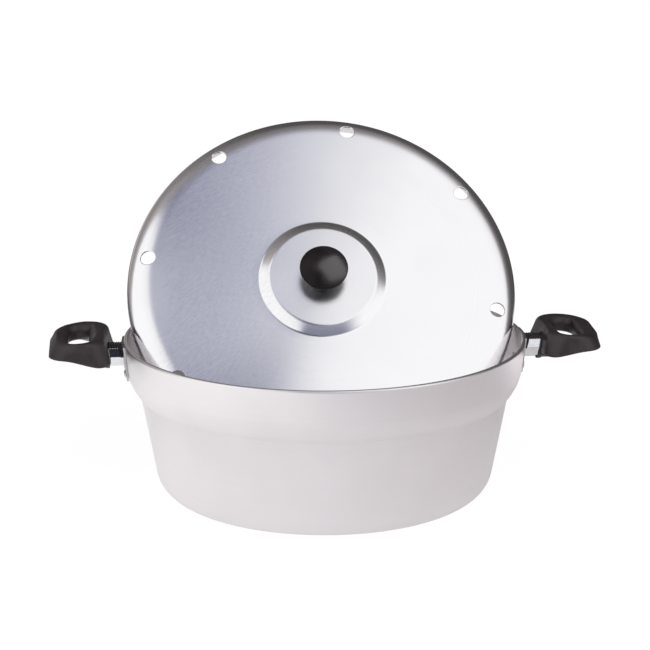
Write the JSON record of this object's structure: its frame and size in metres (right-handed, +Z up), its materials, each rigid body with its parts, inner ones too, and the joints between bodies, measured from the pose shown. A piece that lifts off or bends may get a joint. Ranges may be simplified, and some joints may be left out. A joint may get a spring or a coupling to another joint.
{
  "type": "vented stovetop oven pot",
  "caption": "Wide ring-shaped aluminium pot with a central chimney, side grips and a domed vented lid with a knob, leaning open in the pot.",
  "frame": {"origin": "centre of the pot's base on the surface it stands on", "axes": "+Z up along the pot's axis, +X through the right grip, the knob faces -Y"},
  "size_m": [0.439, 0.3196, 0.2769],
  "materials": {
    "pot_aluminium": "satin, finely spun round the axis",
    "chimney_aluminium": "satin spun",
    "lid_aluminium": "fine brushed satin, bright at the edge",
    "rivet_aluminium": "pressed, satin",
    "bracket_steel": "plain bright steel",
    "chrome": "polished",
    "dark_phenolic": "satin brown-black moulding",
    "black_phenolic": "glossy black moulding",
    "zinc_steel": "zinc plated",
    "brass": "turned"
  },
  "bodies": {
    "pot": {"pot_shell": "pot_aluminium", "chimney_cone": "chimney_aluminium", "right_handle_bracket": "bracket_steel", "right_bracket_rivets": "rivet_aluminium", "right_flame_guard": "chrome", "right_handle_grip": "dark_phenolic", "right_handle_washer": "zinc_steel", "right_handle_screw": "zinc_steel", "left_handle_bracket": "bracket_steel", "left_bracket_rivets": "rivet_aluminium", "left_flame_guard": "chrome", "left_handle_grip": "dark_phenolic", "left_handle_washer": "zinc_steel", "left_handle_screw": "zinc_steel"},
    "lid": {"lid_shell": "lid_aluminium", "lid_knob": "black_phenolic", "knob_insert": "brass", "knob_washer": "zinc_steel", "knob_lock_washer": "zinc_steel", "knob_screw": "zinc_steel"}
  },
  "joints": [
    {"name": "lid_lift", "type": "slide", "parent": "pot", "child": "lid", "axis": [0, 0, 1], "range_m": [0, 0.2]}
  ]
}
